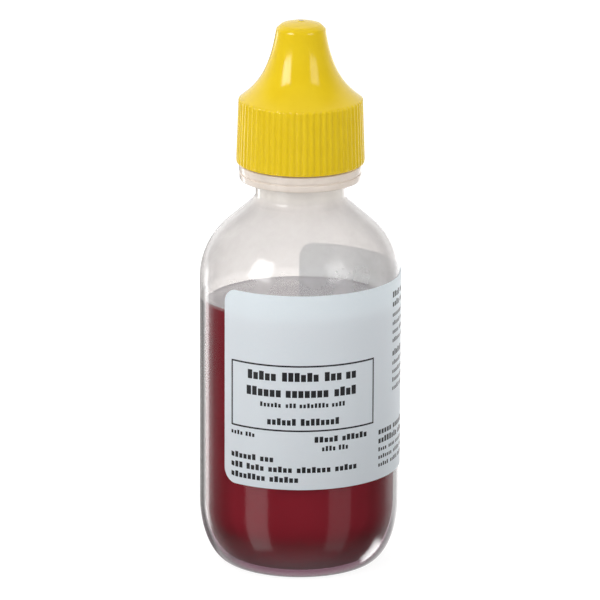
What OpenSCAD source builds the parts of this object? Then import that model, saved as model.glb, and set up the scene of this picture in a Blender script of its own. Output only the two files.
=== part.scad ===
// Squeeze dropper bottle, 60 ml, with its press-in dropper tip, its ribbed screw cap
// with a nozzle cover, its wraparound label and its fill of indicator solution.
// Millimetres. +Z is up, -Y is the front, and the origin is the centre of the foot ring.

/* [Bottle] */
// Outside diameter of the body
body_d = 40; // [38:0.5:42]
// Height at which the shoulder leaves the straight wall
shoulder_z = 58.1; // [57:0.5:60]
// Radius of the shoulder's dome, seen from the side
shoulder_r = 14.9; // [14:0.1:16]
// Slope of the shoulder at the neck, from the vertical
shoulder_a = 48.7; // [46:0.1:50]
// Height of the rounded corner at the base
corner_h = 12.5; // [9:0.5:14]
// Outer radius of the flat foot ring
foot_r = 14.7; // [14:0.1:15.5]
// Rise of the pushed-up base at its centre
push_up = 1.5; // [0.8:0.1:2.5]
// Wall thickness of the body
wall = 1.1; // [0.8:0.1:1.4]

/* [Neck] */
// Outside diameter of the neck
neck_d = 17.8; // [17.6:0.1:18]
// Bore of the neck
neck_bore = 13.6; // [13:0.1:14]
// Diameter of the ring under the cap
ring_d = 24.4; // [23.5:0.1:25]
// Height of the ring's underside
ring_z = 78.6; // [78:0.1:79]
// Height of the ring's top
ring_top = 81.6; // [81:0.1:81.7]
// Height of the neck's rim
rim_z = 93; // [92:0.1:93]

/* [Thread] */
// Thread pitch, eight turns to the inch
pitch = 3.175; // [3:0.005:3.3]
// Turns of thread on the neck and in the cap
turns = 1.25; // [1:0.05:1.3]
// Crest diameter of the neck's thread
thread_d = 19.9; // [19.5:0.1:20]

/* [Cap] */
// Height of the cap's lower rim
cap_z = 81.9; // [81.9:0.1:82.1]
// Height of the skirt's top corner
skirt_top = 94.65; // [94.5:0.05:95]
// Diameter over the ribs at the lower rim
skirt_d = 25.8; // [25.6:0.1:26.4]
// Diameter over the ribs at the top corner
skirt_top_d = 24.9; // [24.6:0.1:25.4]
// Depth of the grooves between the ribs
rib_depth = 0.3; // [0.2:0.05:0.4]
// Number of ribs
ribs = 60; // [48:4:72]
// Height of the top of the dome
cap_top = 110.5; // [110:0.1:112]
// Radius of the nozzle cover at its top corner
nose_r = 4.4; // [4.3:0.05:4.8]

/* [Tip] */
// Height of the tip's mouth
mouth_z = 107; // [106:0.1:107]
// Radius of the drop channel
channel_r = 0.45; // [0.3:0.05:0.6]

/* [Contents and label] */
// Height of the liquid
fill_z = 53; // [30:1:57]
// Height of the label's lower edge
label_z = 19.9; // [16:0.1:22]
// Height of the label
label_h = 39.8; // [30:0.2:40]
// Angle the label wraps around the body
label_wrap = 228; // [180:2:300]
// Thickness of the label
label_t = 0.12; // [0.1:0.02:0.2]
// Radius of the label's corners
label_corner = 3; // [2:0.5:4]

/* [Hidden] */
$fn = 96;

R = body_d / 2;
neck_r = neck_d / 2;
bore_r = neck_bore / 2;
ring_r = ring_d / 2;
cap_bore_r = thread_d / 2 + 0.35;  // clear of the neck's thread
cap_crest_r = neck_r + 0.25;       // clear of the neck itself
ceiling_z = rim_z + 1.25;          // underside of the cap's top, over the tip's flange
pin_top = cap_top - 1.5;
dome_r = 12.6;                     // sphere of the cap's slightly crowned top
nose_z = cap_top - 0.9;            // corner of the crowned top

// ---- body: a wall section between two curves that share their rule ----

// rounded base corner, from the foot to the straight wall
function corner(rf, r, z, h, n = 12) =
    [for (i = [0:n]) let (t = 90 * i / n)
        [rf + (r - rf) * pow(sin(t), 1.15), z + h * (1 - cos(t))]];

// domed shoulder that ends in a straight cone down to radius re
function shoulder(r, q, re, n = 12) =
    let (k = tan(shoulder_a), rc = r - q * (1 - cos(shoulder_a)), zc = shoulder_z + q * sin(shoulder_a))
    concat([for (i = [0:n]) let (t = shoulder_a * i / n)
        [r - q * (1 - cos(t)), shoulder_z + q * sin(t)]],
        [[re, zc + (rc - re) / k]]);

// pushed-up base, from its centre out to the foot
function base(z, r, rise, n = 8) =
    [for (i = [0:n]) [r * i / n, z + rise * (1 - pow(i / n, 2))]];

out_shoulder = shoulder(R, shoulder_r, neck_r + 0.8);
in_shoulder = shoulder(R - wall, shoulder_r - wall, bore_r);
z_neck = out_shoulder[len(out_shoulder) - 1][1];

function bottle_inside() = concat(
    base(wall + 0.1, foot_r - 1.9, push_up),
    corner(foot_r - 0.9, R - wall, wall + 0.1, corner_h - wall),
    in_shoulder,
    [[bore_r, rim_z]]);

function bottle_outside() = concat(
    base(0, foot_r - 1.9, push_up),
    corner(foot_r, R, 0, corner_h),
    out_shoulder,
    [[neck_r + 0.25, z_neck + 0.35], [neck_r, z_neck + 0.9],
     [neck_r, ring_z - 0.5], [neck_r + 0.4, ring_z - 0.15],
     [ring_r - 0.25, ring_z], [ring_r - 0.05, ring_z + 0.25],
     [ring_r - 0.05, ring_z + 1.15], [ring_r - 0.3, ring_z + 1.25],
     [ring_r - 0.3, ring_z + 1.5], [ring_r, ring_z + 1.65],
     [ring_r, ring_top - 0.25], [ring_r - 0.25, ring_top],
     [neck_r, ring_top], [neck_r, rim_z - 0.4], [neck_r - 0.4, rim_z],
     [bore_r, rim_z]]);

// flip(list) runs a curve backwards
function flip(p) = [for (i = [len(p) - 1:-1:0]) p[i]];

// ---- screw thread: one right-hand ridge, faded out at both ends ----

// ra is the radius at the ridge's root, inside the wall it grows from, and rb at its crest
module ridge(ra, rb, z, start) {
    n = ceil(turns * 24);
    out = rb > ra;
    function fade(i) = min(1, 0.15 + 6 * i / n, 0.15 + 6 * (n - i) / n);
    pts = [for (i = [0:n])
        let (a = start + 360 * turns * i / n, h = z + pitch * turns * i / n,
             c = ra + (rb - ra) * fade(i))
        each [for (q = [[ra, -0.85], [c, -0.35], [c, 0.35], [ra, 0.85]])
            [q[0] * cos(a), q[0] * sin(a), h + q[1]]]];
    side = [for (i = [0:n - 1], j = [0:3])
        let (p = 4 * i + j, q = 4 * i + (j + 1) % 4)
        each [[p, p + 4, q + 4], [p, q + 4, q]]];
    ends = [[0, 1, 2], [0, 2, 3], [4 * n + 2, 4 * n + 1, 4 * n], [4 * n + 3, 4 * n + 2, 4 * n]];
    faces = concat(side, ends);
    polyhedron(pts, out ? [for (f = faces) [f[2], f[1], f[0]]] : faces, convexity = 6);
}

// ---- cap: straight-sided nose that flares out to the ribbed skirt ----

function flare(z) = nose_r + 0.07 * (nose_z - z)
    + 6.33 * exp(-(z - skirt_top - 0.25) / 5.29) + 0.3 * exp(-(z - skirt_top - 0.25) / 2.68);

function flare_curve(z0, z1, inset, n = 22) =
    [for (i = [0:n]) let (z = z0 + (z1 - z0) * pow(i / n, 1.25)) [flare(z) - inset, z]];

function dome(n = 6) =
    [for (i = [0:n]) let (r = (nose_r - 0.1) * (1 - i / n))
        [r, cap_top - dome_r + sqrt(dome_r * dome_r - r * r)]];

module cap_outside() {
    rotate_extrude()
        polygon(concat(
            [[0, cap_z], [skirt_d / 2 - 0.35, cap_z], [skirt_d / 2, cap_z + 0.25], [skirt_d / 2, cap_z + 0.6],
             [skirt_d / 2 - rib_depth, cap_z + 0.8],
             [skirt_top_d / 2 - rib_depth, skirt_top]],
            flare_curve(skirt_top + 0.25, nose_z - 0.35, 0),
            [[nose_r, nose_z - 0.15]],
            dome()));
    // ribs, leaning in with the skirt's draft
    lean = atan((skirt_d - skirt_top_d) / 2 / (skirt_top - cap_z));
    for (i = [0:ribs - 1])
        rotate(360 * i / ribs)
            translate([skirt_d / 2 - 1, -0.32, cap_z + 0.3])
                rotate([0, -lean, 0])
                    cube([1, 0.64, skirt_top - cap_z - 0.35]);
    // moulding gate
    translate([0, 0, cap_top - 0.3]) cylinder(r1 = 0.7, r2 = 0.45, h = 0.45);
}

module cap_inside() {
    rotate_extrude()
        polygon(concat(
            [[0, cap_z - 1], [cap_bore_r + 0.3, cap_z - 1], [cap_bore_r + 0.3, cap_z + 0.05], [cap_bore_r, cap_z + 0.35],
             [cap_bore_r, ceiling_z], [flare(ceiling_z + 3) - 1.5, ceiling_z]],
            flare_curve(ceiling_z + 3, pin_top - 1.2, 1.5, 10),
            [[0, pin_top - 1.2]]));
    // seat of the sealing pin
    translate([0, 0, pin_top - 2]) cylinder(r = 1.65, h = 2.05);
}

// ---- pieces ----

module bottle() {
    color([0.86, 0.84, 0.82, 0.75])
        union() {
            rotate_extrude()
                polygon(concat(bottle_outside(), flip(bottle_inside())));
            ridge(neck_r - 0.3, thread_d / 2, 84.9, 40);
        }
}

module liquid() {
    g = 0.03;  // skin between the liquid and the wall
    color([0.42, 0.07, 0.11])
        rotate_extrude()
            polygon(concat(
                base(wall + 0.1 + g, foot_r - 1.9, push_up),
                corner(foot_r - 0.9 - g, R - wall - g, wall + 0.1 + g, corner_h - wall),
                [[R - wall - g, fill_z], [0, fill_z]]));
}

module label_corner_cut() {
    // what lies outside a quarter circle, cut along the radius of the body
    rotate([0, 90, 0])
        difference() {
            translate([0, 0, R - 2]) cube([label_corner + 1, label_corner + 1, 4]);
            translate([0, 0, R - 3]) cylinder(r = label_corner, h = 6);
        }
}

module label() {
    a0 = -137.5;
    in = label_corner - 0.1;  // the arc crosses the edges instead of only touching them
    da = asin(in / (R + 0.08));
    color("white")
        difference() {
            rotate(a0)
                rotate_extrude(angle = label_wrap)
                    translate([R + 0.02, label_z]) square([label_t, label_h]);
            for (e = [[a0 + da, -1], [a0 + label_wrap - da, 1]])
                for (top = [0, 1])
                    translate([0, 0, top == 1 ? label_z + label_h - in : label_z + in])
                        rotate(e[0])
                            mirror([0, e[1] < 0 ? 1 : 0, 0])
                                mirror([0, 0, top])
                                    label_corner_cut();
        }
}

module dropper_tip() {
    color([0.93, 0.92, 0.9])
        rotate_extrude()
            polygon(concat(
                // outside: plug, flange, nozzle
                [[5.7, rim_z - 6.6], [bore_r - 0.45, rim_z - 6.6], [bore_r - 0.05, rim_z - 5.6],
                 [bore_r - 0.05, rim_z + 0.02], [neck_r - 0.3, rim_z + 0.02], [neck_r - 0.15, rim_z + 0.2],
                 [neck_r - 0.15, rim_z + 0.8], [neck_r - 0.35, rim_z + 1], [5, rim_z + 1]],
                [for (i = [0:10]) let (z = rim_z + 1.15 + (mouth_z - rim_z - 1.5) * i / 10)
                    [1.85 + 2.85 * exp(-(z - rim_z - 1.15) / 4.4), z]],
                [[1.75, mouth_z - 0.12], [1.5, mouth_z], [0.8, mouth_z],
                 // inside: mouth, drop channel, funnel
                 [0.75, mouth_z - 0.1], [0.75, mouth_z - 1.4], [channel_r, mouth_z - 1.6],
                 [channel_r, mouth_z - 4.4], [1, rim_z + 8], [3.4, rim_z + 1.4], [5.7, rim_z - 0.8]]));
}

module cap_seal_pin() {
    color([0.88, 0.76, 0.15])
        rotate_extrude()
            polygon([[0, mouth_z - 1.2], [0.4, mouth_z - 1.2], [0.6, mouth_z - 0.9], [0.6, mouth_z + 0.3],
                     [1.6, mouth_z + 0.7], [1.6, pin_top - 0.15], [1.45, pin_top], [0, pin_top]]);
}

module cap() {
    color([0.89, 0.76, 0.15])
        union() {
            difference() {
                cap_outside();
                cap_inside();
            }
            // the cap's ridge runs half a pitch under the neck's
            ridge(cap_bore_r + 0.3, cap_crest_r, 84.9 - pitch / 2, 40);
        }
}

bottle();
liquid();
label();
dropper_tip();
cap_seal_pin();
cap();
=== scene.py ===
import math

import bpy
import numpy as np
from mathutils import Matrix, Vector


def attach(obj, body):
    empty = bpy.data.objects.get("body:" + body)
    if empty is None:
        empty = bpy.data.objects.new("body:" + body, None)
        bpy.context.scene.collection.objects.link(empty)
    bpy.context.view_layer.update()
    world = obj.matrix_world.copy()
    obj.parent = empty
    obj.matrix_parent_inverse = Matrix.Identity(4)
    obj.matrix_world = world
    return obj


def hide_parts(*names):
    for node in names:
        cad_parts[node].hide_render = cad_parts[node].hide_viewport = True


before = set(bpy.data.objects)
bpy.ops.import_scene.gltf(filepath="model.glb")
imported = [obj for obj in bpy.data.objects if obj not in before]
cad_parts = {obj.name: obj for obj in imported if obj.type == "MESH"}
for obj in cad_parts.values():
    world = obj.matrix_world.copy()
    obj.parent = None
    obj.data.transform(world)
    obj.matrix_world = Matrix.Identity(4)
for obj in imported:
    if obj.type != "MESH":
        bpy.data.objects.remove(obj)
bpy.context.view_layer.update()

MM = 0.001


# ---------------------------------------------------------------- profiles
# Profiles are lists of (r, z) in millimetres, outer side going up, inner side going down.

def corner(rf, r, z, h, n=26):
    ts = [math.pi / 2 * i / n for i in range(n + 1)]
    return [(rf + (r - rf) * math.sin(t) ** 1.15, z + h * (1 - math.cos(t))) for t in ts]


SHOULDER_A = math.radians(48.7)
SHOULDER_Z = 58.1


def shoulder(r, q, re, n=22):
    rc = r - q * (1 - math.cos(SHOULDER_A))
    zc = SHOULDER_Z + q * math.sin(SHOULDER_A)
    arc = [(r - q * (1 - math.cos(t)), SHOULDER_Z + q * math.sin(t)) for t in (SHOULDER_A * i / n for i in range(n + 1))]
    return arc + [(re, zc + (rc - re) / math.tan(SHOULDER_A))]


def base(z, r, rise, n=14):
    return [(r * i / n, z + rise * (1 - (i / n) ** 2)) for i in range(n + 1)]


def rounded(points, n=5):
    """Corners given as (r, z, radius) become arcs."""
    out = []
    for i, (x, y, rad) in enumerate(points):
        p = Vector((x, y))
        if rad <= 0 or i in (0, len(points) - 1):
            out.append((x, y))
            continue
        a, b = Vector(points[i - 1][:2]) - p, Vector(points[i + 1][:2]) - p
        la, lb = a.length, b.length
        a, b = a / la, b / lb
        half = math.acos(max(-1, min(1, a.dot(b)))) / 2
        if half > 1.55:
            out.append((x, y))
            continue
        t = min(rad / math.tan(half), 0.48 * la, 0.48 * lb)
        rad = t * math.tan(half)
        c = p + (a + b).normalized() * (rad / math.sin(half))
        u, v = p + a * t - c, p + b * t - c
        turn = math.atan2(u.x * v.y - u.y * v.x, u.dot(v))
        for k in range(n + 1):
            w = turn * k / n
            out.append((c.x + u.x * math.cos(w) - u.y * math.sin(w), c.y + u.x * math.sin(w) + u.y * math.cos(w)))
    return out


def dense(points, step):
    """Extra points so that none is further than step from the next."""
    out = [points[0]]
    for p, q in zip(points, points[1:]):
        n = max(1, math.ceil(math.dist(p, q) / step))
        out += [(p[0] + (q[0] - p[0]) * k / n, p[1] + (q[1] - p[1]) * k / n) for k in range(1, n + 1)]
    return out


def smooth(lo, hi, v):
    t = np.clip((v - lo) / (hi - lo), 0, 1)
    return t * t * (3 - 2 * t)


PITCH, TURNS, START = 3.175, 1.25, 40.0


def ridge(angle, z, z0, half_root, half_crest):
    """Height, 0 to 1, of the thread's ridge at these angles (degrees, 0 to 360) and height z."""
    best = np.zeros_like(angle)
    for k in range(-1, 3):
        run = angle + 360 * k - START
        t = run / (360 * TURNS)
        fade = smooth(-0.015, 0.05, t) * (1 - smooth(0.95, 1.015, t))
        d = np.abs(z - (z0 + PITCH * run / 360))
        best = np.maximum(best, (1 - smooth(half_crest * 0.8, half_root * 1.05, d)) * fade)
    return best


# ---------------------------------------------------------------- meshes

def make(name, verts, faces, materials, slots=None, sharp=38.0):
    mesh = bpy.data.meshes.new(name)
    mesh.from_pydata([tuple(v) for v in verts], [], faces)
    for m in materials:
        mesh.materials.append(m)
    if slots is not None:
        mesh.polygons.foreach_set("material_index", np.array(slots, np.int32))
    mesh.validate()
    mesh.shade_smooth()
    mesh.set_sharp_from_angle(angle=math.radians(sharp))
    obj = bpy.data.objects.new(name, mesh)
    bpy.context.scene.collection.objects.link(obj)
    return obj


def lathe(name, loop, segments, materials, shape=None, slot_of=None, sharp=38.0, rise=None):
    """A closed turned body. shape(i, r, z, angles) may move a ring's points in or out and rise(i, r, z, angles) up or down; slot_of(i) picks the material of the band above ring i."""
    angles = np.arange(segments) * (360.0 / segments)
    cos, sin = np.cos(np.radians(angles)), np.sin(np.radians(angles))
    verts, first, apex = [], [], []
    for i, (r, z) in enumerate(loop):
        first.append(len(verts))
        if r < 1e-6:
            apex.append(True)
            verts.append((0.0, 0.0, z * MM))
            continue
        apex.append(False)
        ring = np.full(segments, float(r)) if shape is None else shape(i, r, z, angles)
        up = np.full(segments, float(z)) if rise is None else rise(i, r, z, angles)
        verts.extend(zip(ring * cos * MM, ring * sin * MM, up * MM))
    faces, slots = [], []
    n = len(loop)
    for i in range(n):
        k = (i + 1) % n
        if apex[i] and apex[k]:
            continue
        s = slot_of(i) if slot_of else 0
        a, b = first[i], first[k]
        for j in range(segments):
            q = (j + 1) % segments
            if apex[i]:
                faces.append((a, b + q, b + j))
            elif apex[k]:
                faces.append((a + j, a + q, b))
            else:
                faces.append((a + j, a + q, b + q, b + j))
            slots.append(s)
    return make(name, verts, faces, materials, slots, sharp)


# ---------------------------------------------------------------- node helpers

class Nodes:
    def __init__(self, name, world=False):
        if world:
            self.owner = bpy.data.worlds.new(name)
        else:
            self.owner = bpy.data.materials.new(name)
        self.owner.use_nodes = True
        self.tree = self.owner.node_tree
        self.tree.nodes.clear()

    def add(self, kind, inputs=None, **props):
        node = self.tree.nodes.new(kind)
        for k, v in props.items():
            setattr(node, k, v)
        for k, v in (inputs or {}).items():
            socket = node.inputs[k]
            if isinstance(v, bpy.types.NodeSocket):
                self.tree.links.new(v, socket)
            else:
                socket.default_value = v
        return node

    def math(self, op, a, b=0.0, c=0.0, clamp=False):
        return self.add("ShaderNodeMath", {0: a, 1: b, 2: c}, operation=op, use_clamp=clamp).outputs[0]

    def ramp(self, value, lo, hi, out_lo=0.0, out_hi=1.0):
        return self.add("ShaderNodeMapRange", {"Value": value, "From Min": lo, "From Max": hi, "To Min": out_lo, "To Max": out_hi},
                        interpolation_type="SMOOTHSTEP").outputs["Result"]

    def band(self, value, lo, hi, soft):
        return self.math("MULTIPLY", self.ramp(value, lo - soft, lo + soft), self.ramp(value, hi - soft, hi + soft, 1.0, 0.0))

    def curve(self, value, stops):
        node = self.add("ShaderNodeValToRGB", {"Fac": value})
        node.color_ramp.interpolation = "EASE"
        e = node.color_ramp.elements
        while len(e) > 1:
            e.remove(e[-1])
        e[0].position, e[0].color = stops[0][0], (stops[0][1],) * 3 + (1,)
        for p, v in stops[1:]:
            x = e.new(p)
            x.color = (v,) * 3 + (1,)
        return node.outputs["Color"]

    def noise(self, scale, detail=4.0, rough=0.5, stretch=(1, 1, 1), offset=(0, 0, 0)):
        at = self.add("ShaderNodeTexCoord").outputs["Object"]
        moved = self.add("ShaderNodeMapping", {"Vector": at, "Scale": stretch, "Location": offset}).outputs["Vector"]
        return self.add("ShaderNodeTexNoise", {"Vector": moved, "Scale": scale, "Detail": detail, "Roughness": rough}).outputs["Fac"]

    def mix_colour(self, fac, a, b, blend="MIX"):
        node = self.tree.nodes.new("ShaderNodeMix")
        node.data_type = "RGBA"
        node.blend_type = blend
        for socket, v in ((node.inputs[0], fac), (node.inputs[6], a), (node.inputs[7], b)):
            if isinstance(v, bpy.types.NodeSocket):
                self.tree.links.new(v, socket)
            else:
                socket.default_value = v
        return node.outputs[2]

    def bump(self, height, strength, distance):
        return self.add("ShaderNodeBump", {"Height": height, "Strength": strength, "Distance": distance}).outputs["Normal"]

    def mirror_share(self, f0, normal=None):
        """How much a smooth surface mirrors: f0 face on, all of it edge on, the same on both faces of a sheet."""
        edge = self.add("ShaderNodeLayerWeight", {"Blend": 0.5} if normal is None else {"Blend": 0.5, "Normal": normal}).outputs["Facing"]
        return self.math("MULTIPLY_ADD", self.math("POWER", edge, 5.0), 1.0 - f0, f0)

    def surface(self, shader):
        out = self.add("ShaderNodeOutputWorld" if isinstance(self.owner, bpy.types.World) else "ShaderNodeOutputMaterial")
        self.tree.links.new(shader, out.inputs["Surface"])
        return self.owner


def rgb(r, g, b):
    return (r, g, b, 1.0)


# ---------------------------------------------------------------- materials

def yellow_plastic(name, tone=1.0):
    n = Nodes(name)
    mottle = n.noise(260, 3, 0.55)
    fine = n.noise(2600, 5, 0.6)
    grain = n.noise(9000, 3, 0.6)
    flow = n.noise(90, 2, 0.5, stretch=(1, 1, 0.25))
    base_colour = n.mix_colour(n.ramp(mottle, 0.35, 0.68), rgb(0.808 * tone, 0.562 * tone, 0.0084), rgb(0.830 * tone, 0.586 * tone, 0.0100))
    base_colour = n.mix_colour(n.ramp(flow, 0.45, 0.75, 0.0, 0.30), base_colour, rgb(0.845 * tone, 0.600 * tone, 0.0120))
    # the gate nub on the crown is scuffed grey
    at = n.add("ShaderNodeSeparateXYZ", {0: n.add("ShaderNodeTexCoord").outputs["Object"]})
    reach = n.math("SQRT", n.math("ADD", n.math("MULTIPLY", at.outputs["X"], at.outputs["X"]), n.math("MULTIPLY", at.outputs["Y"], at.outputs["Y"])))
    nub = n.math("MULTIPLY", n.ramp(reach, 0.00040, 0.00062, 1.0, 0.0), n.ramp(at.outputs["Z"], 0.1103, 0.1105))
    base_colour = n.mix_colour(n.math("MULTIPLY", nub, 0.85), base_colour, rgb(0.30, 0.27, 0.19))
    rough = n.math("ADD", n.ramp(fine, 0.3, 0.75, 0.105, 0.165), n.ramp(mottle, 0.3, 0.7, -0.01, 0.02))
    height = n.math("ADD", n.math("MULTIPLY", fine, 0.6), n.math("MULTIPLY", grain, 0.4))
    shader = n.add("ShaderNodeBsdfPrincipled", {
        "Base Color": base_colour, "Roughness": rough, "IOR": 1.49,
        "Normal": n.bump(height, 0.10, 0.000006)})
    return n.surface(shader.outputs[0])


def wall_outer():
    """Natural polyethylene: clear where the liquid wets it, milky where the wall is dry and where it is thick."""
    n = Nodes("ldpe_outer")
    at = n.add("ShaderNodeSeparateXYZ", {0: n.add("ShaderNodeTexCoord").outputs["Object"]})
    z = at.outputs["Z"]
    dry = n.ramp(z, 0.0543, 0.0549)
    facing = n.add("ShaderNodeLayerWeight", {"Blend": 0.5}).outputs["Facing"]
    cloud = n.noise(150, 4, 0.55)
    fine = n.noise(1800, 4, 0.6)
    # painted highlight: the wetted wall is made milkier in a narrow band of view angle near its edge, which paints a
    # bright line there; the faint milkiness elsewhere at a slant is the wall's own
    wet_milk_with_painted_line = n.curve(facing, [(0.0, 0.003), (0.50, 0.006), (0.56, 0.11), (0.60, 0.17), (0.645, 0.17), (0.68, 0.10), (0.71, 0.06), (1.0, 0.08)])
    wet_milk_with_painted_line = n.math("MULTIPLY", wet_milk_with_painted_line, n.ramp(z, 0.008, 0.016, 0.25, 1.0))
    # painted shade: the wall's lowest centimetre is made milky and dark lilac, which stands in for shade and a lilac
    # reflection at the base
    foot_painted_shade = n.ramp(z, 0.0005, 0.0105, 0.20, 0.0)
    wet_milk_with_painted_line = n.math("ADD", wet_milk_with_painted_line, foot_painted_shade)
    dry_milk = n.curve(facing, [(0.0, 0.15), (0.25, 0.15), (0.50, 0.21), (0.75, 0.23), (1.0, 0.28)])
    thick = n.math("ADD", n.ramp(z, 0.0560, 0.0600, 0.0, 0.12), n.ramp(z, 0.0600, 0.0700, 0.0, 0.08))
    neck = n.ramp(z, 0.0725, 0.0765, 0.0, 0.46)
    dry_milk = n.math("ADD", n.math("ADD", dry_milk, thick), neck)
    milk = n.add("ShaderNodeMix", {0: dry, 2: wet_milk_with_painted_line, 3: dry_milk}).outputs[0]
    milk = n.math("MULTIPLY", milk, n.ramp(cloud, 0.3, 0.7, 0.9, 1.1), clamp=True)
    wall_tone_and_painted_light = n.mix_colour(n.ramp(cloud, 0.35, 0.7), rgb(0.915, 0.872, 0.855), rgb(0.935, 0.898, 0.884))
    # painted light: the neck and flange are tinted warm, which stands in for yellow light bounced from the cap
    wall_tone_and_painted_light = n.mix_colour(n.ramp(z, 0.0725, 0.0765), wall_tone_and_painted_light, rgb(0.985, 0.940, 0.880))
    wall_tone_and_painted_light = n.mix_colour(n.ramp(z, 0.0778, 0.0790), wall_tone_and_painted_light, rgb(1.0, 0.900, 0.810))
    # painted shade: dark lilac colour on the wall's foot
    wall_tone_and_painted_light = n.mix_colour(n.ramp(z, 0.0010, 0.0090), rgb(0.62, 0.42, 0.50), wall_tone_and_painted_light)
    bump = n.bump(cloud, 0.04, 0.00006)
    diffuse = n.add("ShaderNodeBsdfDiffuse", {"Color": wall_tone_and_painted_light})
    glow = n.add("ShaderNodeBsdfTranslucent", {"Color": wall_tone_and_painted_light})
    milky = n.add("ShaderNodeMixShader", {0: n.ramp(z, 0.0725, 0.0765, 0.42, 0.20), 1: diffuse.outputs[0], 2: glow.outputs[0]})
    # painted shade: the see-through colour is darkened by view angle, in a band near the edge of the wetted wall and
    # most at a middling angle on the dry wall, which darkens the middle of the shoulder
    painted_shade_wet = n.curve(facing, [(0.0, 1.0), (0.64, 0.97), (0.70, 0.50), (0.76, 0.32), (0.83, 0.45), (0.93, 0.90), (1.0, 0.95)])
    painted_shade_dry = n.curve(facing, [(0.0, 1.0), (0.18, 0.965), (0.38, 0.91), (0.58, 0.745), (0.75, 0.88), (0.90, 0.98), (1.0, 1.0)])
    painted_shade_by_angle = n.mix_colour(dry, painted_shade_wet, painted_shade_dry)
    # painted shade: the see-through colour turns dark lilac towards the bottom; higher up it is the wall's own faint
    # tint
    tint_with_painted_base_shade = n.mix_colour(n.ramp(z, 0.0020, 0.0120), rgb(0.54, 0.36, 0.44), rgb(0.99, 0.974, 0.963))
    clear = n.add("ShaderNodeBsdfTransparent", {"Color": n.mix_colour(1.0, painted_shade_by_angle, tint_with_painted_base_shade, "MULTIPLY")})
    body = n.add("ShaderNodeMixShader", {0: milk, 1: clear.outputs[0], 2: milky.outputs[0]})
    gloss = n.add("ShaderNodeBsdfAnisotropic", {"Color": rgb(1, 1, 1), "Roughness": n.ramp(fine, 0.3, 0.7, 0.10, 0.13), "Normal": bump})
    whole = n.add("ShaderNodeMixShader", {0: n.mirror_share(0.04), 1: body.outputs[0], 2: gloss.outputs[0]})
    return n.surface(whole.outputs[0])


def wall_inner():
    n = Nodes("ldpe_inner")
    z = n.add("ShaderNodeSeparateXYZ", {0: n.add("ShaderNodeTexCoord").outputs["Object"]}).outputs["Z"]
    dry = n.ramp(z, 0.0543, 0.0549)
    cloud = n.noise(210, 4, 0.55, offset=(0.1, 0.2, 0.3))
    milk = n.math("MULTIPLY", dry, n.ramp(cloud, 0.3, 0.7, 0.06, 0.10))
    colour = n.mix_colour(n.ramp(cloud, 0.35, 0.7), rgb(0.93, 0.90, 0.88), rgb(0.95, 0.93, 0.91))
    bump = n.bump(cloud, 0.04, 0.00006)
    diffuse = n.add("ShaderNodeBsdfDiffuse", {"Color": colour, "Normal": bump})
    glow = n.add("ShaderNodeBsdfTranslucent", {"Color": colour, "Normal": bump})
    milky = n.add("ShaderNodeMixShader", {0: 0.5, 1: diffuse.outputs[0], 2: glow.outputs[0]})
    clear = n.add("ShaderNodeBsdfTransparent", {"Color": rgb(0.985, 0.98, 0.975)})
    body = n.add("ShaderNodeMixShader", {0: milk, 1: clear.outputs[0], 2: milky.outputs[0]})
    gloss = n.add("ShaderNodeBsdfAnisotropic", {"Color": rgb(1, 1, 1), "Roughness": 0.2, "Normal": bump})
    shine = n.math("MULTIPLY", n.mirror_share(0.022), dry)
    whole = n.add("ShaderNodeMixShader", {0: shine, 1: body.outputs[0], 2: gloss.outputs[0]})
    return n.surface(whole.outputs[0])


def solution():
    n = Nodes("indicator_body")
    z = n.add("ShaderNodeSeparateXYZ", {0: n.add("ShaderNodeTexCoord").outputs["Object"]}).outputs["Z"]
    drift = n.noise(55, 3, 0.5)
    deep = n.mix_colour(n.ramp(drift, 0.35, 0.7), rgb(0.246, 0.0100, 0.0225), rgb(0.275, 0.0122, 0.0268))
    # painted light: the liquid's colour turns brighter red in its lowest few millimetres
    painted_base_light = n.ramp(z, 0.0015, 0.0078, 1.0, 0.0)
    colour = n.mix_colour(painted_base_light, deep, rgb(0.720, 0.034, 0.085))
    # painted shade: the liquid's colour is darkened towards its sides, where the eye meets it at a slant
    edge = n.add("ShaderNodeLayerWeight", {"Blend": 0.5}).outputs["Facing"]
    colour = n.mix_colour(1.0, colour, n.curve(edge, [(0.0, 1.0), (0.18, 1.0), (0.30, 0.92), (0.42, 0.72), (0.60, 0.64), (1.0, 0.60)]), "MULTIPLY")
    shader = n.add("ShaderNodeBsdfPrincipled", {"Base Color": colour, "Roughness": 0.5, "IOR": 1.33, "Specular IOR Level": 0.0})
    return n.surface(shader.outputs[0])


def solution_top():
    n = Nodes("indicator_surface")
    ripple = n.noise(120, 2, 0.4)
    bump = n.bump(ripple, 0.02, 0.0002)
    red = n.mix_colour(ripple, rgb(0.095, 0.0870, 0.1480), rgb(0.110, 0.0970, 0.1620))
    body = n.add("ShaderNodeBsdfDiffuse", {"Color": red, "Normal": bump})
    gloss = n.add("ShaderNodeBsdfAnisotropic", {"Color": rgb(1, 1, 1), "Roughness": 0.06, "Normal": bump})
    whole = n.add("ShaderNodeMixShader", {0: n.mirror_share(0.34), 1: body.outputs[0], 2: gloss.outputs[0]})
    return n.surface(whole.outputs[0])


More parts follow.
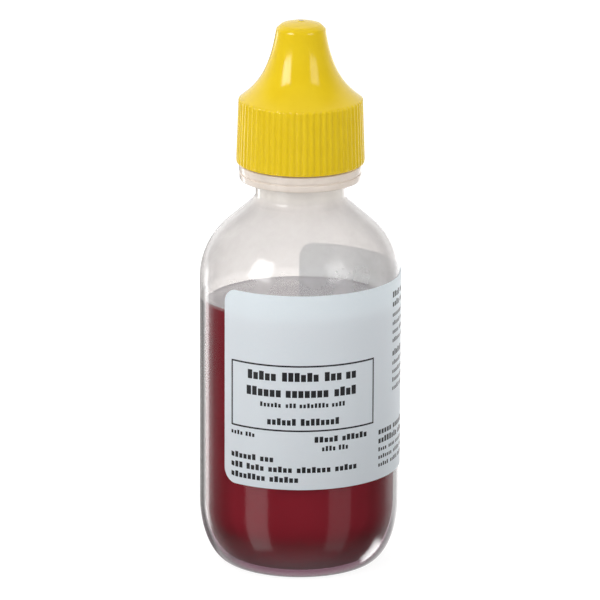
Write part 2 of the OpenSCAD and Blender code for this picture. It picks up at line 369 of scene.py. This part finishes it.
def paper():
    n = Nodes("label_paper")
    fibre = n.noise(5200, 5, 0.65, stretch=(1, 1, 1.4))
    wave = n.noise(130, 3, 0.5)
    colour = n.mix_colour(n.ramp(fibre, 0.35, 0.7), rgb(0.855, 0.935, 0.985), rgb(0.895, 0.960, 0.995))
    colour = n.mix_colour(n.ramp(wave, 0.4, 0.7, 0.0, 0.4), colour, rgb(0.875, 0.940, 0.980))
    rough = n.ramp(fibre, 0.3, 0.7, 0.36, 0.48)
    height = n.math("ADD", n.math("MULTIPLY", fibre, 0.25), wave)
    shader = n.add("ShaderNodeBsdfPrincipled", {
        "Base Color": colour, "Roughness": rough, "IOR": 1.45, "Normal": n.bump(height, 0.10, 0.00005)})
    glow = n.add("ShaderNodeBsdfTranslucent", {"Color": colour})
    behind = n.add("ShaderNodeNewGeometry").outputs["Backfacing"]
    passed = n.math("MULTIPLY_ADD", behind, 0.68, 0.22)
    return n.surface(n.add("ShaderNodeMixShader", {0: passed, 1: shader.outputs[0], 2: glow.outputs[0]}).outputs[0])


def adhesive():
    """The clear glue on the label's back: the paper shows through it."""
    n = Nodes("label_back")
    haze = n.noise(700, 4, 0.6)
    diffuse = n.add("ShaderNodeBsdfDiffuse", {"Color": n.mix_colour(haze, rgb(0.84, 0.86, 0.88), rgb(0.90, 0.91, 0.92))})
    clear = n.add("ShaderNodeBsdfTransparent", {"Color": rgb(1, 1, 1)})
    return n.surface(n.add("ShaderNodeMixShader", {0: n.ramp(haze, 0.3, 0.7, 0.10, 0.18), 1: clear.outputs[0], 2: diffuse.outputs[0]}).outputs[0])


def ink():
    n = Nodes("label_ink")
    fibre = n.noise(6000, 4, 0.6)
    colour = n.mix_colour(n.ramp(fibre, 0.35, 0.75), rgb(0.010, 0.010, 0.012), rgb(0.028, 0.028, 0.032))
    shader = n.add("ShaderNodeBsdfPrincipled", {
        "Base Color": colour, "Roughness": n.ramp(fibre, 0.3, 0.7, 0.4, 0.55), "IOR": 1.45})
    # from behind only the paper shows
    plain = n.add("ShaderNodeBsdfDiffuse", {"Color": rgb(0.84, 0.90, 0.94)})
    glow = n.add("ShaderNodeBsdfTranslucent", {"Color": rgb(0.72, 0.78, 0.82)})
    back = n.add("ShaderNodeMixShader", {0: 0.80, 1: plain.outputs[0], 2: glow.outputs[0]})
    behind = n.add("ShaderNodeNewGeometry").outputs["Backfacing"]
    return n.surface(n.add("ShaderNodeMixShader", {0: behind, 1: shader.outputs[0], 2: back.outputs[0]}).outputs[0])


def tip_plastic():
    n = Nodes("ldpe_tip")
    cloud = n.noise(420, 4, 0.55)
    fine = n.noise(4000, 4, 0.6)
    colour = n.mix_colour(n.ramp(cloud, 0.35, 0.7), rgb(0.80, 0.785, 0.765), rgb(0.85, 0.84, 0.825))
    bump = n.bump(n.math("ADD", n.math("MULTIPLY", fine, 0.4), cloud), 0.1, 0.00006)
    shader = n.add("ShaderNodeBsdfPrincipled", {
        "Base Color": colour, "Roughness": n.ramp(fine, 0.3, 0.7, 0.28, 0.4), "IOR": 1.51, "Normal": bump,
        "Subsurface Weight": 0.25, "Subsurface Radius": (0.002, 0.0018, 0.0016), "Subsurface Scale": 1.0})
    return n.surface(shader.outputs[0])


yellow = yellow_plastic("cap_yellow_pp")
yellow_pin = yellow_plastic("pin_yellow_pp", 0.96)
outer_wall, inner_wall = wall_outer(), wall_inner()

# ---------------------------------------------------------------- bottle

out_shoulder = shoulder(20.0, 14.9, 9.7)
z_neck = out_shoulder[-1][1]
outer = base(0, 12.8, 1.5) + corner(14.7, 20.0, 0.0, 12.5) + dense(out_shoulder, 1.2)
neck = rounded([
    (outer[-2][0], outer[-2][1], 0), (9.7, z_neck, 1.2), (8.9, z_neck + 1.1, 1.0), (8.9, 78.25, 0.35), (12.1, 78.55, 0.3),
    (12.15, 79.82, 0.12), (11.86, 79.9, 0.08), (11.86, 80.15, 0.08), (12.2, 80.25, 0.12), (12.2, 81.6, 0.22),
    (8.9, 81.6, 0.2), (8.9, 83.6, 0)])
thread_part = [(8.9, 83.6 + 0.125 * i) for i in range(1, 54)]
rim = rounded([(8.9, 90.3, 0), (8.9, 93.0, 0.4), (6.8, 93.0, 0.15), (6.8, 91.5, 0)])
inner = base(1.2, 12.8, 1.5) + corner(13.8, 18.9, 1.2, 11.4) + dense(shoulder(18.9, 13.8, 6.8), 1.2)
inner = inner + [(6.8, 84.0)]
loop = outer[:-1] + neck[1:] + thread_part + rim[1:] + inner[::-1]
n_outer = len(outer[:-1] + neck[1:] + thread_part) + len(rim[1:]) - 8
first_thread = len(outer[:-1] + neck[1:])
last_thread = first_thread + len(thread_part)


def bottle_shape(i, r, z, angles):
    if first_thread <= i < last_thread:
        return r + 1.05 * ridge(angles, z, 84.9, 0.739, 0.35)
    return np.full_like(angles, float(r))


def bottle_rise(i, r, z, angles):
    """The pinch-off line that blow moulding leaves across the underside."""
    if i > 14 or r > 12.9:
        return np.full_like(angles, float(z))
    across = np.abs(r * np.sin(np.radians(angles)))
    return z - 0.45 * (1 - smooth(0.25, 0.95, across)) * (1 - smooth(10.5, 12.6, r))


bottle = lathe("bottle_wall", loop, 256, [outer_wall, inner_wall], bottle_shape, lambda i: 0 if i < n_outer else 1, 38.0, bottle_rise)
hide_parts("bottle")
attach(bottle, "bottle_body")

# ---------------------------------------------------------------- liquid, with the rim it climbs up the wall

g = 0.05
level = 52.7
liquid_loop = base(1.2 + 0.1, 12.7, 1.5) + corner(13.75, 18.9 - g, 1.3, 11.3)
liquid_loop = liquid_loop + [(18.9 - g, 30.0), (18.9 - g, 45.0), (18.9 - g, level - 1.0)]
n_side = len(liquid_loop)
rim_steps = [(0.0, 1.0), (0.10, 0.72), (0.26, 0.46), (0.5, 0.27), (0.9, 0.13), (1.5, 0.045), (2.4, 0.0)]
liquid_loop = liquid_loop + [(18.9 - g - d, level) for d, _ in rim_steps] + [(14.0, level), (9.0, level), (4.0, level), (0.0, level)]


def liquid_rise(i, r, z, angles):
    k = i - n_side
    if not 0 <= k < len(rim_steps):
        return np.full_like(angles, float(z))
    # the rim stands higher on the side the bottle was last tilted to
    high = 0.25 + 1.70 * smooth(-0.4, 0.7, -np.sin(np.radians(angles)))
    return z + high * rim_steps[k][1]


liquid = lathe("liquid_fill", liquid_loop, 192, [solution(), solution_top()], None, lambda i: 0 if i < n_side else 1, 60.0, liquid_rise)
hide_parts("liquid")
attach(liquid, "bottle_body")

# ---------------------------------------------------------------- label: one thin sheet, print laid out as plain marks

LR, LT = 20.14, 0.12
LZ0, LZ1 = 19.9, 59.7
S0, S1 = -math.radians(47.5) * LR, math.radians(180.5) * LR
marks = []


def word_row(x0, x1, z, high, unit, seed, dark=0.75, tall=0.28):
    """A line of small plain blocks between x0 and x1 (mm along the label), standing for print."""
    r = np.random.RandomState(seed)
    x = x0
    while x < x1 - unit:
        letters = int(r.randint(3, 9))
        for _ in range(letters):
            if x + unit * dark > x1 + 1e-6:
                break
            up = high * (1.0 + (tall if r.rand() < 0.35 else 0.0))
            marks.append((x, x + unit * dark, z - high / 2, z - high / 2 + up))
            x += unit
        x += unit * 0.75


def at(deg):
    return math.radians(deg) * LR


bx0, bx1, bz0, bz1, bw = at(-42.0), at(46.7), 31.9, 45.5, 0.34
marks += [(bx0, bx1, bz0, bz0 + bw), (bx0, bx1, bz1 - bw, bz1), (bx0, bx0 + bw, bz0, bz1), (bx1 - bw, bx1, bz0, bz1)]
word_row(at(-30.5), at(34.5), 42.95, 1.45, 1.25, 3, 0.8)
word_row(at(-31.5), at(36.5), 39.65, 1.45, 1.25, 8, 0.8)
word_row(at(-22.5), at(26.5), 37.2, 0.75, 0.75, 5, 0.66)
word_row(at(-18.5), at(25.5), 33.75, 1.10, 1.0, 12, 0.75)
word_row(at(-42.0), at(-24.0), 30.55, 0.70, 0.75, 21, 0.75)
word_row(at(8.5), at(42.5), 30.1, 0.95, 1.0, 31, 0.66)
word_row(at(12.5), at(29.5), 28.2, 0.80, 0.75, 17, 0.75)
word_row(at(-42.0), at(-13.0), 25.9, 0.95, 1.0, 23, 0.66)
word_row(at(-42.0), at(34.5), 23.9, 0.95, 1.0, 41, 0.66)
word_row(at(-42.0), at(0.5), 21.85, 0.95, 1.0, 29, 0.66)
# side panels
word_row(at(66), at(120), 56.6, 0.95, 1.0, 51, 0.75)
word_row(at(66), at(112), 54.7, 0.95, 1.0, 53, 0.75)
for k, end in enumerate((168, 160, 166, 150)):
    word_row(at(66), at(end), 52.5 - 1.75 * k, 0.70, 0.75, 60 + k, 0.66)
word_row(at(66), at(108), 44.6, 0.95, 1.0, 71, 0.75)
for k, end in enumerate((166, 162, 168, 140)):
    word_row(at(66), at(end), 42.6 - 1.75 * k, 0.70, 0.75, 80 + k, 0.66)
word_row(at(51.5), at(118), 29.6, 0.95, 1.0, 91, 0.75)
word_row(at(51.5), at(126), 27.75, 0.95, 1.0, 93, 0.75)
for k, end in enumerate((150, 146, 132)):
    word_row(at(51.5), at(end), 25.95 - 1.6 * k, 0.65, 0.75, 95 + k, 0.66)


def snap(v, step):
    return round(v / step) * step


marks = [(m if i < 4 else (snap(m[0], 0.25), max(snap(m[1], 0.25), snap(m[0], 0.25) + 0.25), m[2], m[3])) for i, m in enumerate(marks)]
marks = [(x0, x1, round(z0, 3), round(z1, 3)) for x0, x1, z0, z1 in marks]
cols = {S0, S1, bx0, bx0 + bw, bx1 - bw, bx1}
cols |= {S0 + d for d in (0.02, 0.08, 0.18, 0.34, 0.55, 0.85, 1.2, 1.7, 2.3, 3.0)}
cols |= {S1 - d for d in (0.02, 0.08, 0.18, 0.34, 0.55, 0.85, 1.2, 1.7, 2.3, 3.0)}
used = {x for m in marks[4:] for x in m[:2]}
cols |= used
last = S0 + 3.0
while last < S1 - 3.0:
    cols.add(snap(last, 0.25))
    last += 0.75
cols = sorted(c for c in cols if S0 <= c <= S1)
cols = [c for i, c in enumerate(cols) if i == 0 or c - cols[i - 1] > 0.008]
rows = {LZ0, LZ1} | {z for m in marks for z in m[2:]} | {21.0, 23.0, 47.5, 50.0, 58.5}
rows = sorted(rows)
rows = [r for i, r in enumerate(rows) if i == 0 or r - rows[i - 1] > 0.012]


def sheet(name, materials):
    cs, rs = np.array(cols), np.array(rows)
    end = np.minimum(cs - S0, S1 - cs)
    inset = np.where(end < 3.0, 3.0 - np.sqrt(np.maximum(0.0, 9.0 - (3.0 - np.minimum(end, 3.0)) ** 2)), 0.0)
    zz = (LZ0 + inset)[:, None] + (rs - LZ0)[None, :] * ((LZ1 - LZ0 - 2 * inset) / (LZ1 - LZ0))[:, None]
    ang = cs / LR - math.pi / 2
    nc, nr = len(cs), len(rs)
    verts = []
    for rad in (LR, LR - LT):
        x = np.repeat((rad * np.cos(ang))[:, None], nr, 1)
        y = np.repeat((rad * np.sin(ang))[:, None], nr, 1)
        verts += list(zip((x * MM).ravel(), (y * MM).ravel(), (zz * MM).ravel()))
    dark = np.zeros((nc - 1, nr - 1), bool)
    mc, mr = (cs[1:] + cs[:-1]) / 2, (rs[1:] + rs[:-1]) / 2
    for x0, x1, z0, z1 in marks:
        dark[np.ix_((mc > x0) & (mc < x1), (mr > z0) & (mr < z1))] = True
    faces, slots = [], []
    off = nc * nr
    for i in range(nc - 1):
        for j in range(nr - 1):
            a, b, c, d = i * nr + j, (i + 1) * nr + j, (i + 1) * nr + j + 1, i * nr + j + 1
            faces.append((a, b, c, d))
            slots.append(1 if dark[i, j] else 0)
            faces.append((off + d, off + c, off + b, off + a))
            slots.append(2)
    for i in range(nc - 1):
        a, b = i * nr, (i + 1) * nr
        faces.append((off + a, off + b, b, a))
        slots.append(0)
        a, b = i * nr + nr - 1, (i + 1) * nr + nr - 1
        faces.append((a, b, off + b, off + a))
        slots.append(0)
    for j in range(nr - 1):
        a, b = j, j + 1
        faces.append((a, b, off + b, off + a))
        slots.append(0)
        a, b = (nc - 1) * nr + j, (nc - 1) * nr + j + 1
        faces.append((off + a, off + b, b, a))
        slots.append(0)
    return make(name, verts, faces, materials, slots, 50.0)


label = sheet("label_sheet", [paper(), ink(), adhesive()])
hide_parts("label")
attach(label, "bottle_body")

# ---------------------------------------------------------------- dropper tip

nozzle = [(1.85 + 2.85 * math.exp(-(z - 94.15) / 4.4), z) for z in (94.15 + 12.5 * i / 28 for i in range(29))]
tip_loop = rounded([(5.7, 86.4, 0.0), (6.35, 86.4, 0.2), (6.75, 87.4, 0.3), (6.75, 93.02, 0.05), (8.75, 93.02, 0.15), (8.75, 94.0, 0.25), (5.3, 94.0, 0.4), (nozzle[1][0], nozzle[1][1], 0.5), (nozzle[2][0], nozzle[2][1], 0)])
tip_loop = tip_loop[1:] + nozzle[3:] + rounded([(nozzle[-1][0], nozzle[-1][1], 0), (1.80, 107.0, 0.18), (0.78, 107.0, 0.1), (0.75, 105.7, 0.1), (0.45, 105.4, 0.05), (0.45, 102.6, 0.3), (1.0, 101.0, 0.5), (3.4, 94.4, 0.6), (5.7, 92.2, 0.4), (5.7, 86.4, 0)])[1:]
tip = lathe("tip_moulding", tip_loop, 160, [tip_plastic()])
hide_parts("dropper_tip")
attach(tip, "bottle_body")

# ---------------------------------------------------------------- cap

def flare(z):
    return 4.4 + 0.07 * (109.6 - z) + 6.33 * math.exp(-(z - 94.9) / 5.29) + 0.3 * math.exp(-(z - 94.9) / 2.68)


def skirt(z):
    return 12.6 - 0.45 * (z - 82.0) / 12.65


RIB = 0.19
rib_z = [82.22, 82.32, 82.45, 82.7, 84.5, 87, 89.5, 92, 94.0, 94.35]
cap_out = rounded([(10.62, 81.9, 0), (12.45, 81.9, 0.1), (12.72, 82.08, 0.1), (12.70, 82.2, 0)], 4)[1:]
first_rib = len(cap_out)
cap_out += [(skirt(z), z) for z in rib_z]
# the ribs run out over the rounded edge at the top of the skirt
top_edge = [(skirt(94.5), 94.50), (skirt(94.6) - 0.015, 94.62), (skirt(94.6) - 0.06, 94.74), (skirt(94.6) - 0.13, 94.84), (12.02, 94.93)]
cap_out += top_edge
last_rib = len(cap_out) - 1
cap_out += [(flare(z), z) for z in (95.0 + 14.0 * (i / 46) ** 1.25 for i in range(1, 47))]
sphere = lambda r: 110.5 - 12.6 + math.sqrt(12.6 * 12.6 - r * r)
cap_out += rounded([cap_out[-1] + (0,), (4.41, 109.46, 0.16), (3.9, sphere(3.9), 0.3), (3.5, sphere(3.5), 0)], 6)[1:]
cap_out += [(r, sphere(r)) for r in (3.0, 2.5, 2.0, 1.5, 1.1, 0.85)]
cap_out += rounded([(0.85, sphere(0.85), 0), (0.68, 110.5, 0.05), (0.56, 110.62, 0.05), (0.25, 110.60, 0.05), (0.0, 110.585, 0)], 3)[1:]
cap_in = [(0.0, 109.05)] + rounded([(0.0, 109.05, 0), (1.65, 109.05, 0.15), (1.65, 107.8, 0.1), (flare(107.8) - 1.5, 107.8, 0.5), (flare(106) - 1.5, 106.0, 0)], 3)[1:]
cap_in += [(flare(z) - 1.5, z) for z in np.linspace(105.0, 98.0, 9)]
cap_in += rounded([(flare(98.0) - 1.5, 98.0, 0), (flare(97.25) - 1.5, 97.25, 0.3), (7.95, 94.25, 0.25), (10.3, 94.25, 0.3), (10.3, 92.5, 0)], 3)[1:]
cap_in += [(10.3, 90.5)]
first_groove = len(cap_out) + len(cap_in)
cap_in += [(10.3, 88.6 - 0.125 * i) for i in range(0, 52)]
last_groove = len(cap_out) + len(cap_in)
cap_in += [(10.38, 82.05), (10.62, 81.93)]
cap_loop = cap_out + cap_in
fade_in = {0: 0.55, 1: 0.85, 2: 1.0}


def cap_shape(i, r, z, angles):
    if first_rib <= i < last_rib:
        k = i - first_rib
        a = fade_in.get(k, 1.0)
        j = k - len(rib_z)
        if j >= 0:
            a = (1.0, 0.97, 0.78, 0.42, 0.0)[j]
        u = np.abs(((angles + 91.5) / 6.0 + 0.5) % 1.0 - 0.5)
        rib = 1 - smooth(0.17, 0.40, u)
        return r + RIB * a * rib
    if first_groove <= i < last_groove:
        return r - 1.15 * ridge(angles, z, 84.9 - PITCH / 2, 0.747, 0.35)
    return np.full_like(angles, float(r))


cap = lathe("cap_moulding", cap_loop, 480, [yellow], cap_shape, None, 46.0)
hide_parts("cap")
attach(cap, "cap_body")

pin = lathe("seal_pin_moulding", rounded([
    (0.0, 105.8, 0), (0.42, 105.8, 0.1), (0.6, 106.15, 0.1), (0.6, 107.3, 0.08), (1.6, 107.7, 0.12), (1.6, 109.0, 0.12), (0.0, 109.0, 0)], 4),
    96, [yellow_pin])
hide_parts("cap_seal_pin")
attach(pin, "seal_pin_body")

# ---------------------------------------------------------------- studio

n = Nodes("studio", world=True)
ray = n.add("ShaderNodeTexCoord").outputs["Generated"]
xyz = n.add("ShaderNodeSeparateXYZ", {0: ray})
azimuth = n.math("ARCTAN2", xyz.outputs["X"], n.math("MULTIPLY", xyz.outputs["Y"], -1.0))
height = n.math("ARCSINE", xyz.outputs["Z"])
D = math.radians
away = n.math("ABSOLUTE", azimuth)
top = n.ramp(height, D(40), D(80), 0.0, 0.25)
under = n.ramp(height, D(-75), D(-42), 0.55, 0.0)
left_box = n.math("MULTIPLY", n.band(azimuth, D(-65), D(-37), D(1.2)), n.band(height, D(14), D(43), D(1.5)))
right_box = n.math("MULTIPLY", n.band(azimuth, D(34.5), D(62), D(1.2)), n.band(height, D(14), D(43), D(1.5)))
left_low = n.math("MULTIPLY", n.band(azimuth, D(-65), D(-37), D(1.5)), n.band(height, D(-44), D(-12), D(3)))
right_low = n.math("MULTIPLY", n.band(azimuth, D(34.5), D(62), D(1.5)), n.band(height, D(-44), D(-12), D(3)))
strip = n.math("MULTIPLY", n.band(azimuth, D(-140), D(-130), D(2.5)), n.band(height, D(-24), D(-4), D(4)))
spot = n.math("MULTIPLY", n.band(azimuth, D(113), D(135), D(3.5)), n.band(height, D(-47), D(-32), D(2.5)))
dusk_left = n.math("MULTIPLY", n.band(azimuth, D(-172), D(-62), D(8)), n.band(height, D(26), D(84), D(8)))
dusk_right = n.math("MULTIPLY", n.band(azimuth, D(62), D(172), D(8)), n.band(height, D(22), D(84), D(8)))
edge_right = n.math("MULTIPLY", n.band(azimuth, D(142), D(178), D(5)), n.band(height, D(-22), D(-5), D(3)))
flag_left = n.math("MULTIPLY", n.band(azimuth, D(-174), D(-146), D(4)), n.band(height, D(-30), D(-6), D(4)))


def sum_of(first, parts):
    for part, power in parts:
        first = n.math("MULTIPLY_ADD", part, power, first)
    return first


# what glossy surfaces mirror: a dim room with two soft boxes, a strip, a low lamp and a dark card
mirrored = sum_of(n.ramp(away, D(92), D(140), 0.15, 1.0), (
    (top, 1.0), (under, 1.0), (left_box, 7.2), (right_box, 2.8), (left_low, 1.35), (right_low, 0.60), (strip, 3.2), (spot, 8.0), (edge_right, 0.7), (flag_left, -0.75)))
# what lights the matt surfaces: the same room, filled from the front
filled = sum_of(n.ramp(away, D(55), D(105), 0.60, 1.16), (
    (top, 1.0), (under, 1.0), (left_box, 5.1), (right_box, 1.9), (left_low, 0.7), (right_low, 2.9), (dusk_left, -0.26), (dusk_right, -0.50)))
path = n.add("ShaderNodeLightPath")
total = n.add("ShaderNodeMix", {0: path.outputs["Is Glossy Ray"], 2: filled, 3: mirrored}).outputs[0]
studio = n.add("ShaderNodeBackground", {"Color": rgb(1, 1, 1), "Strength": total})
plain = n.add("ShaderNodeBackground", {"Color": rgb(1, 1, 1), "Strength": 1.0})
seen = path.outputs["Is Camera Ray"]
bpy.context.scene.world = n.surface(n.add("ShaderNodeMixShader", {0: seen, 1: studio.outputs[0], 2: plain.outputs[0]}).outputs[0])

f = Nodes("floor_white")
where = f.add("ShaderNodeTexCoord").outputs["Object"]
radius = f.add("ShaderNodeVectorMath", {0: where}, operation="LENGTH").outputs["Value"]
seen = f.add("ShaderNodeLightPath").outputs["Is Camera Ray"]
matt = f.add("ShaderNodeBsdfDiffuse", {"Color": rgb(0.22, 0.22, 0.22)})
# painted shadow: the floor's glow as the camera sees it is dimmed in a soft ring around the bottle
painted_shadow_lift = f.add("ShaderNodeEmission", {"Color": rgb(1, 1, 1), "Strength": f.ramp(radius, 0.016, 0.20, 0.90, 1.0)})
shown = f.add("ShaderNodeAddShader", {0: matt.outputs[0], 1: painted_shadow_lift.outputs[0]})
# the floor glows as a light for the other surfaces, and this glow is much dimmer close to the bottle, a painted shadow
painted_shadow_glow = f.add("ShaderNodeEmission", {"Color": rgb(1, 1, 1), "Strength": f.ramp(radius, 0.018, 0.22, 0.14, 0.95)})
above = f.add("ShaderNodeMixShader", {0: seen, 1: painted_shadow_glow.outputs[0], 2: shown.outputs[0]})
below = f.add("ShaderNodeBsdfTransparent", {"Color": rgb(1, 1, 1)})
underneath = f.add("ShaderNodeNewGeometry").outputs["Backfacing"]
floor_material = f.surface(f.add("ShaderNodeMixShader", {0: underneath, 1: above.outputs[0], 2: below.outputs[0]}).outputs[0])
verts, faces = [(0, 0, 0)], []
for i, rad in enumerate((0.05, 0.2, 0.8, 3.0)):
    verts += [(rad * math.cos(2 * math.pi * j / 96), rad * math.sin(2 * math.pi * j / 96), 0) for j in range(96)]
faces += [(0, 1 + j, 1 + (j + 1) % 96) for j in range(96)]
for i in range(3):
    a, b = 1 + 96 * i, 1 + 96 * (i + 1)
    faces += [(a + j, b + j, b + (j + 1) % 96, a + (j + 1) % 96) for j in range(96)]
floor = make("studio_floor", verts, faces, [floor_material])
floor.location.z = -0.0001
floor.visible_glossy = False

scene = bpy.context.scene
scene.view_settings.view_transform = "Standard"
scene.view_settings.look = "None"

elevation = D(15.88)
data = bpy.data.cameras.new("camera")
data.sensor_width = 36.0
data.lens = 391.0
data.clip_start, data.clip_end = 0.05, 20.0
camera = bpy.data.objects.new("camera", data)
scene.collection.objects.link(camera)
target = Vector((0.0, 0.0, 0.0533))
camera.location = target + Vector((0.0, -math.cos(elevation), math.sin(elevation))) * 1.3
aim = (target - camera.location).to_track_quat("-Z", "Y").to_matrix().to_4x4()
camera.matrix_world = Matrix.Translation(camera.location) @ aim @ Matrix.Rotation(D(0.22), 4, "Z")
scene.camera = camera
